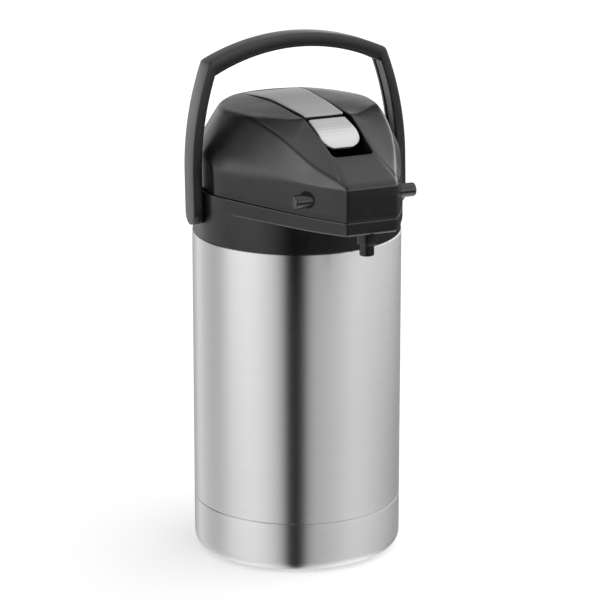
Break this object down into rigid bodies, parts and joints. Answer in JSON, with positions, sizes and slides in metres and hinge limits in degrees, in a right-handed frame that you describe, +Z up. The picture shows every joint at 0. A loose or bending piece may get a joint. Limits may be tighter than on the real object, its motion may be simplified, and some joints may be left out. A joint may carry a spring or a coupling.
{
  "type": "thermal coffee airpot",
  "caption": "Lever-action vacuum airpot: brushed steel body, black collar with spout nose, hinged pump lid with grey lever and chrome tip, and an upright bail handle.",
  "frame": {"origin": "centre of the base pad on the surface the airpot stands on, on the body's axis", "axes": "+Z up along the body's axis; the spout nose points towards -Y; +X is across, along the handle's pivots"},
  "size_m": [0.1814, 0.2332, 0.4163],
  "materials": {
    "body_steel": "horizontally brushed stainless steel, satin",
    "flask_steel": "plain satin stainless steel",
    "black_moulding": "satin black moulded plastic with a fine grain",
    "dark_moulding": "matte dark grey moulded plastic",
    "well_black": "deep black moulded plastic",
    "lever_grey": "satin mid-grey paint on moulded plastic",
    "lever_chrome": "ribbed bright chrome plating",
    "base_rubber": "matte black rubber",
    "bellows_rubber": "matte black rubber",
    "clear_silicone": "translucent white silicone",
    "red_silicone": "red silicone",
    "natural_plastic": "natural white plastic",
    "spring_steel": "bright spring wire",
    "pin_steel": "plain turned steel"
  },
  "bodies": {
    "body": {"foot_pad": "base_rubber", "base_cup": "body_steel", "outer_shell": "body_steel", "inner_flask": "flask_steel", "collar": "black_moulding", "stem_gasket": "clear_silicone", "stem_head": "dark_moulding", "dip_tube": "natural_plastic", "spout_pipe": "dark_moulding", "nozzle_cone": "black_moulding", "nozzle_tube": "black_moulding", "tip_valve_cage": "natural_plastic", "lid_hinge_pin": "pin_steel"},
    "handle": {"handle_bail": "black_moulding", "handle_grip": "dark_moulding", "handle_pin_left": "pin_steel", "handle_pin_right": "pin_steel"},
    "lid": {"lid_shell": "black_moulding", "lid_base": "dark_moulding", "lid_screws": "pin_steel", "air_seal": "clear_silicone", "outlet_flap": "red_silicone", "bellows": "bellows_rubber", "return_spring": "spring_steel", "finger_well": "well_black", "lever_pin": "pin_steel", "latch_spring_left": "spring_steel", "latch_spring_right": "spring_steel"},
    "lever": {"lever_arm": "lever_grey", "lever_tip": "lever_chrome"},
    "pump": {"pump_plate": "dark_moulding", "inlet_flap": "red_silicone"},
    "release_left": {"release_pin_left": "black_moulding", "latch_hook_left": "dark_moulding"},
    "release_right": {"release_pin_right": "black_moulding", "latch_hook_right": "dark_moulding"},
    "tip_ball": {"tip_valve_ball": "pin_steel"}
  },
  "joints": [
    {"name": "handle_swing", "type": "hinge", "parent": "body", "child": "handle", "pos_m": [0, 0, 0.2815], "axis": [-1, 0, 0], "range_deg": [-50, 125]},
    {"name": "lid_open", "type": "hinge", "parent": "body", "child": "lid", "pos_m": [0, 0.088, 0.3], "axis": [-1, 0, 0], "range_deg": [0, 13]},
    {"name": "lever_press", "type": "hinge", "parent": "lid", "child": "lever", "pos_m": [0, 0.054, 0.352], "axis": [1, 0, 0], "range_deg": [0, 14], "stiffness_Nm_per_rad": 6, "springref_deg": -11.46},
    {"name": "pump_stroke", "type": "slide", "parent": "lid", "child": "pump", "axis": [0, 0, -1], "range_m": [0, 0.0134], "deforming": ["bellows", "return_spring"]},
    {"name": "release_left_push", "type": "slide", "parent": "lid", "child": "release_left", "axis": [1, 0, 0], "range_m": [0, 0.004], "stiffness_N_per_m": 600, "springref_m": -0.003, "deforming": ["latch_spring_left"]},
    {"name": "release_right_push", "type": "slide", "parent": "lid", "child": "release_right", "axis": [-1, 0, 0], "range_m": [0, 0.004], "stiffness_N_per_m": 600, "springref_m": -0.003, "deforming": ["latch_spring_right"]},
    {"name": "tip_ball_rise", "type": "slide", "parent": "body", "child": "tip_ball", "axis": [0, 0, 1], "range_m": [0, 0.011]}
  ],
  "couplings": [
    {"joint": "pump_stroke", "follows": "lever_press", "m_per_rad": 0.0545}
  ]
}
